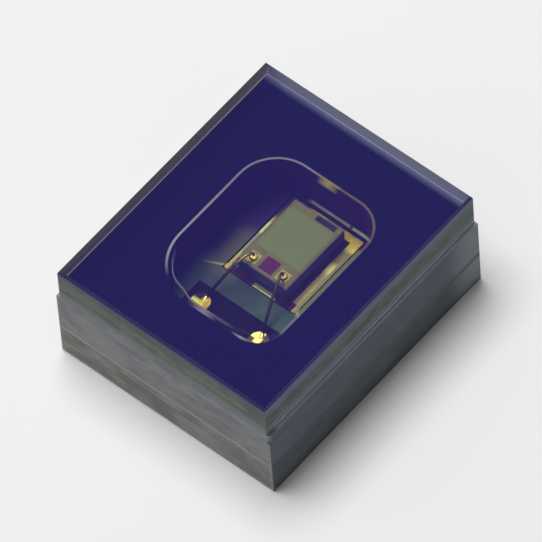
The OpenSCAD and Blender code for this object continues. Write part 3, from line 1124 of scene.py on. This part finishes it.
@dataclass(frozen=True)
class CavityFrame:
    """Laminate frame: routed cavity wall, sawn faces outside, a ledge under the lid and a chipped edge."""

    outline: CavityOutline
    ledge_drop: float = 0.03
    chip_h: float = 0.1
    chip_d: float = 0.022
    chip_lean: float = 8.0
    chip_lip: float = 0.002
    chip_rows: int = 9
    wall_rows: int = 7
    side_rise: float = 0.15

    def build(self) -> None:
        """Carries the section up the wall, over the top, down the step, along the ledge, down the side."""
        low, high = node_box("cavity_frame")
        body, lid = high[:2], node_box("lid_glass")[1][:2]
        ledge_z = high[2] - self.ledge_drop
        chip_z = ledge_z - self.chip_h
        wall_z = np.linspace(low[2], high[2], self.wall_rows)
        side_z = np.linspace(ledge_z, chip_z, self.chip_rows)
        side_z = np.append(side_z, [chip_z - self.chip_lip, low[2] + self.side_rise, low[2]])
        wall = raise_plan(self.outline.inset(np.zeros((len(wall_z), 1))), wall_z[:, None])
        step = raise_plan(self.outline.rectangle([lid, lid]), np.array([[high[2]], [ledge_z]]))
        side = raise_plan(self.outline.rectangle([body] * len(side_z)), side_z[:, None])
        cut = self.chipped(side, body, chip_z)
        grid = np.concatenate([wall, step, cut])
        sawn, routed, ledge, broken = range(4)
        section = [routed] * len(wall_z) + [ledge] * len(step) + [sawn] * (len(side_z) - 1) + [routed]
        strips = np.repeat(np.array(section)[:, None], grid.shape[1], axis=1)
        moved = np.abs(cut - side).max(axis=-1) > 0
        moved &= np.roll(moved, -1, axis=1)
        strips[len(wall_z) + len(step) : -1][moved[:-1] & moved[1:]] = broken
        coats = (LAMINATE, ROUTED, LEDGE, CHIP)
        shell = Shell("frame_sawn_and_routed", Slot.LAMINATE, ("cavity_frame",), coats)
        shell.build(grid, strips, ring=True)

    def chipped(self, side: Array, body: Array, chip_z: float) -> Array:
        """Cuts the front right edge back to a leaning plane.

        A point's reach along the diagonal is held to minus the chip's depth, which shrinks with height.

        Args:
            side: Points of the sawn side.
            body: Half width and half length of the body.
            chip_z: Height of the chip's foot.

        Returns:
            The points with the chip in them.
        """
        diagonal = np.array([1.0, -1.0]) / math.sqrt(2)
        reach = (side[..., :2] - body * [1, -1]) @ diagonal
        depth = self.chip_d - (side[..., 2] - chip_z) * math.tan(math.radians(self.chip_lean))
        cut = np.where(side[..., 2] >= chip_z, np.minimum(reach, -depth), reach)
        moved = side.copy()
        moved[..., :2] += (cut - reach)[..., None] * diagonal
        return moved


@dataclass(frozen=True)
class LidGlass:
    """Coated glass lid: polished faces, sawn sides, and bands of small chips along the upper edges.

    The bands' widths run front, right, rear and left.
    """

    outline: CavityOutline
    chips: tuple[float, float, float, float] = (0.022, 0.02, 0.014, 0.045)
    chip_drop: float = 0.018
    chipping: float = 0.004
    chip_waves: int = 40
    air: float = 0.004
    seed: int = 5

    def build(self) -> None:
        """Stacks rectangles: underside just clear of the glue, its rim, the side and the uneven chips."""
        low, high = node_box("lid_glass")
        uneven = self.chipping * self.outline.wander(self.seed, self.chip_waves)[:, None]
        front, right, rear, left = self.chips
        plan = self.outline.rectangle([high[:2] - self.air] + [high[:2]] * 3)
        plan[-1] = np.clip(plan[-1], low[:2] + (left, front) + uneven, high[:2] - (right, rear) - uneven)
        height = np.array([low[2] + self.air, low[2], high[2] - self.chip_drop, high[2]])[:, None]
        facing = self.outline.facing()
        faces = (COATED, UNCOATED)
        side = len(faces) + facing
        edge = len(LID_SIDES) + side
        coats = (*faces, *LID_SIDES, *LID_CHIPS)
        shell = Shell("lid_coated_glass", Slot.GLASS, ("lid_glass",), coats, caps=(1, 0), crease=10.0)
        shell.build(raise_plan(plan, height), np.stack([side, side, edge]), ring=False)


@dataclass(frozen=True)
class LidGlue:
    """Glue under the lid with the round-edged bead that it squeezed into the cavity.

    The bead is clear. Painted highlights show a silvery line along the wall on the left, at the rear and on
    the right, and a dim one along its own edge in front; a yellow patch on a lump at the rear paints the
    gold's reflection. Seen from the camera, a painted dull stretch lies over the left finger and a painted
    glint over the right one. Next to the lid's rear edge the glue is painted pale, as light from behind.
    """

    outline: CavityOutline
    reach: float = 0.06
    unevenness: float = 0.1
    # Painted highlights and reflections on the bead's skin, which shine draws from here on.
    line_w: float = 0.02
    left_from: Pair = (-0.25, 0.1)
    left_dim: float = 0.6
    left_dim_y: float = 1 / 3
    right: float = 0.45
    right_x: Pair = (0.4, 0.55)
    right_y: Pair = (-0.58, -0.4)
    right_dim: float = 0.1
    front_y: Pair = (-0.5, -0.3)
    nose: float = 0.65
    nose_x: Pair = (0.19, 0.2665)
    nose_y: Pair = (-0.62, -0.42)
    nose_w: float = 0.008
    nose_dim: float = 0.15
    # A lump at the rear whose yellow paints the gold's reflection.
    lump_and_gold_sheen: float = 0.75
    lump_w: float = 0.1
    lump_y: float = 0.655
    # A painted dull stretch in front, over the left finger as seen.
    dull: float = 0.55
    dull_w: float = 0.11
    glint: float = 0.85
    glint_x: float = 0.37
    glint_w: float = 0.09
    swells: tuple[Triple, ...] = ((-0.28, 0.1, 0.025), (0.4, 0.12, 0.035))
    margin: Pair = (0.015, 0.06)
    steps: int = 9
    seed: int = 11

    def build(self) -> None:
        """Carries the section along sawn edge, pale margin and glass, round the bead and back underneath.

        The bead's reach wanders, and swells by a bell curve of X at two places in front.
        """
        low, high = node_box("lid_glue")
        wall_top, radius = node_box("cavity_frame")[1][2], (high[2] - low[2]) / 2
        x, y = self.outline.plan()[0].T
        swell = sum(size * np.exp(-(((x - at) / width) ** 2)) for at, width, size in self.swells) * (y < 0)
        reach = self.reach * self.outline.uneven(self.unevenness, self.seed) + swell - radius
        flat = np.linspace(0, 1, self.steps)[:, None] * reach
        turn = np.linspace(np.pi / 2, -np.pi / 2, 2 * self.steps)[1:, None]
        inset = np.concatenate([flat, reach + radius * np.cos(turn), np.zeros((2, len(reach)))])
        bead_z = high[2] - radius + radius * np.sin(turn)
        height = np.concatenate([np.full((self.steps, 1), high[2]), bead_z, [[low[2]], [wall_top]]])
        rims = self.outline.rectangle([high[:2], high[:2], high[:2] - self.margin])
        edge = raise_plan(rims, np.array([[wall_top], [high[2]], [high[2]]]))
        grid = np.concatenate([edge, raise_plan(self.outline.inset(inset), height)])
        finish = np.zeros(grid.shape[:2], int)
        black, sawn, bead, backlit = range(4)
        # At the rear the margin is painted pale, as light from behind.
        margin = np.where(self.outline.facing() == Facing.REAR, backlit, black)
        finish[0], finish[1], finish[len(edge) : -1] = sawn, margin, bead
        shade = np.zeros(grid.shape[:2])
        shade[len(edge) : -2] = self.shine(inset[:-2], reach + radius - self.nose_w)
        coats = (GLUE, GLUE_EDGE, BEAD, BACKLIT_GLUE_REAR)
        shell = Shell("lid_glue_bead", Slot.GLUE, ("lid_glue",), coats, crease=60.0)
        shell.build(grid, finish, ring=True, shade=shade)

    def shine(self, inset: Array, tip: Array) -> Array:
        """Where the bead's skin shows its painted highlights and reflections.

        Along the wall the painted highlight goes by X taken from Y, from nothing at the front right,
        brightest on the left and dimmer at the rear, and again on the right.

        Args:
            inset: Distance of each point from the wall.
            tip: Distance beyond which a point lies on the bead's own edge, for each column.

        Returns:
            Shade from 0 to 1 for each point.
        """
        x, y = self.outline.plan()[0].T
        fade, dims = (1, 0), (-self.left_dim_y, self.left_dim_y)
        left = np.interp(y - x, self.left_from, (0, 1)) * np.interp(y, dims, (1, self.left_dim))
        right = self.right * np.interp(x, self.right_x, (0, 1))
        right *= np.interp(y, self.right_y, (self.right_dim, 1))
        front = np.interp(y, self.front_y, fade)
        glint = self.glint * front * np.interp(np.abs(x - self.glint_x), (0, self.glint_w), fade)
        dull = self.dull * front * np.interp(np.abs(x), (0, self.dull_w), fade)
        lump_and_gold_sheen = self.lump_and_gold_sheen * np.interp(np.abs(x), (0, self.lump_w), fade) * (y > self.lump_y)
        within = np.maximum(dull, lump_and_gold_sheen)
        wall = np.maximum.reduce([left, right, glint, within])
        nose = self.nose * np.interp(y, self.nose_y, fade) * np.interp(x, self.nose_x, (1, self.nose_dim))
        return np.where(inset < self.line_w, wall, np.where(inset > tip, np.maximum(nose, within), within))


@dataclass(frozen=True)
class FrameBondFilm:
    """Bond film under the frame, with the resin that ran out into a hollow fillet at the foot of the wall."""

    outline: CavityOutline
    fillet: float = 0.02
    unevenness: float = 0.25
    pool_x: float = -0.235
    pool_y: float = 0.66
    fade: float = 0.05
    end_x: float = 0.4
    thin: float = 0.45
    gap_x: float = 0.186
    gap_w: float = 0.02
    steps: int = 9
    seed: int = 23

    def build(self) -> None:
        """Carries the section round: outer edge, top, then a quarter circle from wall to floor."""
        low, _ = node_box("frame_bond_film")
        body, wall_z = node_box("cavity_frame")[1][:2], node_box("cavity_frame")[0][2]
        size = self.fillet * self.outline.uneven(self.unevenness, self.seed)
        turn = np.linspace(0, np.pi / 2, self.steps)[:, None]
        run = raise_plan(self.outline.inset(size * (1 - np.cos(turn))), low[2] + size * (1 - np.sin(turn)))
        edge = raise_plan(self.outline.rectangle([body] * 2), np.array([[low[2]], [wall_z]]))
        top = raise_plan(self.outline.inset(np.zeros((1, 1))), np.array([[wall_z]]))
        grid = np.concatenate([edge, top, run])
        seam, resin = range(2)
        finish = np.array([seam] * len(edge) + [resin] * len(run) + [seam])
        shell = Shell("frame_bond_resin", Slot.RESIN, ("frame_bond_film",), (SEAM, RESIN), crease=50.0)
        shell.build(grid, finish, ring=True, shade=np.broadcast_to(self.pooled(), grid.shape[:2]))

    def pooled(self) -> Array:
        """How far the resin pooled, with a painted highlight: along the rear wall, thinner to the left, with
        a break.

        Returns:
            Share from 0 to 1 for each column.
        """
        x, y = self.outline.plan()[0].T
        along = np.clip((x - self.pool_x) / self.fade, 0, 1) * np.clip((self.end_x - x) / self.fade, 0, 1)
        rear = np.clip((y - self.pool_y) / self.fade, 0, 1)
        fill = np.clip(self.thin + (1 - self.thin) * (x - self.pool_x) / (self.gap_x - self.pool_x), 0, 1)
        return along * rear * fill * (np.abs(x - self.gap_x) > self.gap_w)


class Side(IntEnum):
    """Left or right hand of the part, as the sign of X."""

    LEFT = -1
    RIGHT = 1


@dataclass(frozen=True)
class BondWire:
    """Gold bond wire from a squashed ball on the die to a flattened stitch on a finger."""

    side: Side
    wire_d: float = 0.024
    ball_d: float = 0.066
    ball_h: float = 0.024
    loop_rise: float = 0.085
    loop_lean: float = 0.12
    stitch_l: float = 0.045
    stitch_in: float = 0.055
    stitch_thin: float = 0.25
    stitch_spread: float = 1.7
    ball_cut: float = 0.93
    ball_mid: float = 0.45
    ball_arc: float = 0.62
    around: int = 24
    loop_steps: int = 40
    end_steps: int = 9

    def build(self) -> None:
        """Sweeps an ellipse along ball, loop and stitch in an upright plane and sets that in place."""
        hand = self.side.name.lower()
        pad_low, pad_high = node_box(f"bond_pad_{hand}")
        finger_low, finger_high = node_box(f"bond_finger_{hand}")
        start = np.array([*(pad_low + pad_high)[:2] / 2, pad_high[2]])
        end = np.array([(finger_low + finger_high)[0] / 2, finger_high[1] - self.stitch_in, finger_high[2]])
        run = math.hypot(*(end - start)[:2])
        path, slope, half_w, half_h = self.sections(start[2], end[2], run)
        turn = np.linspace(0, 2 * np.pi, self.around, endpoint=False)
        lift = half_h[:, None] * np.sin(turn)
        along = path[:, :1] - lift * np.sin(slope)[:, None]
        up = path[:, 1:] + lift * np.cos(slope)[:, None]
        across = half_w[:, None] * np.cos(turn)
        ahead = (end - start)[:2] / run
        plan = start[:2] + along[..., None] * ahead + across[..., None] * np.array([-ahead[1], ahead[0]])
        drawn = (half_w == half_h) & (half_w <= self.wire_d / 2)
        coats = (WELD_GOLD, WIRE_GOLD)
        shell = Shell(f"gold_wire_{hand}", Slot.WIRE, (f"bond_wire_{hand}",), coats, crease=70.0)
        shell.build(raise_plan(plan, np.maximum(up, end[2])), drawn[:-1].astype(int), ring=False)

    def sections(self, pad_z: float, finger_z: float, run: float) -> tuple[Array, ...]:
        """Middle, slope and half sizes of each section.

        The ball is part of an ellipse turned about the upright. The loop is a cubic curve that starts upright
        and comes down straight to the stitch, where the section flattens and spreads evenly.

        Args:
            pad_z: Height of the die's pad.
            finger_z: Height of the finger.
            run: Plan distance from ball to stitch end.

        Returns:
            Middles (u, z), slopes in radians, half widths and half heights.
        """
        wire_r, ball_top = self.wire_d / 2, pad_z + self.ball_h
        share = np.linspace(0, self.ball_cut, self.end_steps)
        ball_r = self.ball_d / 2 * np.sqrt(1 - ((share - self.ball_mid) / self.ball_arc) ** 2)
        ball = np.stack([np.zeros_like(share), pad_z + share * self.ball_h], axis=1)
        knots = np.array(
            [
                (0, ball_top),
                (0, ball_top + self.loop_rise),
                (self.loop_lean, ball_top + self.loop_rise),
                (run - self.stitch_l, finger_z + wire_r),
            ]
        )
        t = np.linspace(0, 1, self.loop_steps)[:, None]
        s = 1 - t
        loop = s**3 * knots[0] + 3 * t * s**2 * knots[1] + 3 * t**2 * s * knots[2] + t**3 * knots[3]
        step = np.diff(knots, axis=0)
        rate = s**2 * step[0] + 2 * t * s * step[1] + t**2 * step[2]
        loop_slope = np.arctan2(rate[:, 1], rate[:, 0])
        flat = np.linspace(0, 1, self.end_steps)[1:]
        thin = wire_r * (1 - (1 - self.stitch_thin) * flat)
        wide = wire_r * (1 + (self.stitch_spread - 1) * flat)
        stitch = np.stack([run - self.stitch_l * (1 - flat), finger_z + thin], axis=1)
        return (
            np.concatenate([ball, loop, stitch]),
            np.concatenate([np.full(len(share), np.pi / 2), loop_slope, loop_slope[-1] * (1 - flat)]),
            np.concatenate([ball_r, np.full(len(loop), wire_r), wide]),
            np.concatenate([ball_r, np.full(len(loop), wire_r), thin]),
        )


@dataclass(frozen=True)
class Studio:
    """Pale ground, a soft dome that is brighter on the left, one soft box, and the camera."""

    ground_half: float = 120.0
    dome_level: float = 0.22
    dome_lean: Triple = (-0.13, -0.14, 0.0)
    box_level: float = 0.83
    box_size: Pair = (32.0, 48.0)
    box_distance: float = 60.0
    box_from: Triple = (-0.25, 0.0, 1.0)
    azimuth: float = 43.88
    elevation: float = 55.84
    roll: float = -4.91
    distance: float = 80.0
    aim_z: float = 0.54
    focal_px: float = 10643.0
    centre_px: Pair = (268.5, 273.5)
    frame_px: float = 542.0
    sensor: float = 36.0
    clip_ratio: float = 100.0
    clip_end: float = 10.0

    def build(self) -> None:
        """Sets the ground, the lights and the camera."""
        self.add_ground()
        self.add_dome()
        self.add_box()
        self.add_camera()
        bpy.context.scene.view_settings.view_transform = "Standard"

    def add_ground(self) -> None:
        """Lays a square of white card under the part."""
        half = self.ground_half * MM
        mesh = bpy.data.meshes.new("ground")
        corners = [(-half, -half, 0), (half, -half, 0), (half, half, 0), (-half, half, 0)]
        mesh.from_pydata(corners, [], [(0, 1, 2, 3)])
        mesh.materials.append(CARD.material())
        ground = put("ground", mesh)

    def add_dome(self) -> None:
        """Lights from all round: the level plus the direction times the lean.

        The camera, mirrors and glass see plain white, so that the ground runs into a white surround.
        """
        world = bpy.data.worlds.new("light_tent")
        world.use_nodes = True
        world.node_tree.nodes.clear()
        pen = Pen(world.node_tree)
        leaning = {0: pen.add("TexCoord").outputs["Generated"], 1: self.dome_lean}
        lean = pen.add("VectorMath", leaning, operation="DOT_PRODUCT").outputs["Value"]
        level = pen.add("Math", {0: lean, 1: self.dome_level}, operation="ADD").outputs[0]
        rays = pen.add("LightPath").outputs
        shiny = {0: rays["Is Glossy Ray"], 1: rays["Is Transmission Ray"]}
        either = {0: rays["Is Camera Ray"], 1: pen.add("Math", shiny, operation="MAXIMUM").outputs[0]}
        seen = pen.add("Math", either, operation="MAXIMUM").outputs[0]
        strength = pen.add("Mix", {0: seen, 2: level, 3: 1.0}).outputs[0]
        glow = pen.add("Background", {"Color": (1, 1, 1, 1), "Strength": strength}).outputs["Background"]
        pen.add("OutputWorld", {"Surface": glow})
        bpy.context.scene.world = world

    def add_box(self) -> None:
        """Hangs one soft box on the bright side, turned to the part; its power gives the ground its level."""
        back = np.array(self.box_from) / np.linalg.norm(self.box_from)
        lamp = bpy.data.lights.new("soft_box", "AREA")
        lamp.energy = self.box_level * (math.pi * self.box_distance * MM) ** 2 / back[2]
        lamp.shape = "ELLIPSE"
        lamp.size, lamp.size_y = (side * MM for side in self.box_size)
        holder = put("soft_box", lamp)
        right = np.cross([0, 1, 0], back)
        right /= np.linalg.norm(right)
        holder.matrix_world = self.pose(right, np.cross(back, right), back, back * self.box_distance)

    def add_camera(self) -> None:
        """Puts the camera where the photo's stood, by azimuth, elevation and roll about its line of sight."""
        azimuth, elevation, roll = np.radians([self.azimuth, self.elevation, self.roll])
        flat = np.cos(elevation)
        back = np.array([np.sin(azimuth) * flat, -np.cos(azimuth) * flat, np.sin(elevation)])
        level = np.array([np.cos(azimuth), np.sin(azimuth), 0.0])
        rise = np.cross(back, level)
        right = np.cos(roll) * level + np.sin(roll) * rise
        up = np.cos(roll) * rise - np.sin(roll) * level
        lens = bpy.data.cameras.new("camera")
        lens.sensor_width = self.sensor
        lens.lens = self.focal_px / self.frame_px * self.sensor
        lens.shift_x = 0.5 - self.centre_px[0] / self.frame_px
        lens.shift_y = self.centre_px[1] / self.frame_px - 0.5
        lens.clip_start, lens.clip_end = self.distance * MM / self.clip_ratio, self.clip_end
        camera = put("camera", lens)
        camera.matrix_world = self.pose(right, up, back, back * self.distance + [0, 0, self.aim_z])
        bpy.context.scene.camera = camera

    def pose(self, right: Array, up: Array, back: Array, place: Array) -> Matrix:
        """A matrix from three axes and a place.

        Args:
            right: First axis.
            up: Second axis.
            back: Third axis.
            place: Place in millimetres.

        Returns:
            The matrix in metres.
        """
        matrix = np.eye(4)
        matrix[:3] = np.stack([right, up, back, place * MM], axis=1)
        return Matrix(matrix.tolist())


@dataclass
class Photomultiplier:
    """The whole part: its fine pieces, and the finishes of the CAD nodes that show as they are."""

    nodes: dict[str, bpy.types.Object]
    outline: CavityOutline = CavityOutline()

    def build(self) -> None:
        """Builds the fine pieces and dresses the rest."""
        for piece in (CavityFrame, FrameBondFilm, LidGlue, LidGlass):
            piece(self.outline).build()
        for side in Side:
            BondWire(side).build()
        for name, finish in NODE_FINISH.items():
            mesh = self.nodes[name].data
            mesh.materials.clear()
            mesh.materials.append(finish.material())
            LOG.info("%s: %s", name, finish.name)


def main() -> None:
    """Loads the frame, dresses the part and sets the studio."""
    logging.basicConfig(level=logging.INFO, format="%(message)s")
    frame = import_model()
    Photomultiplier(frame["nodes"]).build()
    Studio().build()


if __name__ == "__main__":
    main()
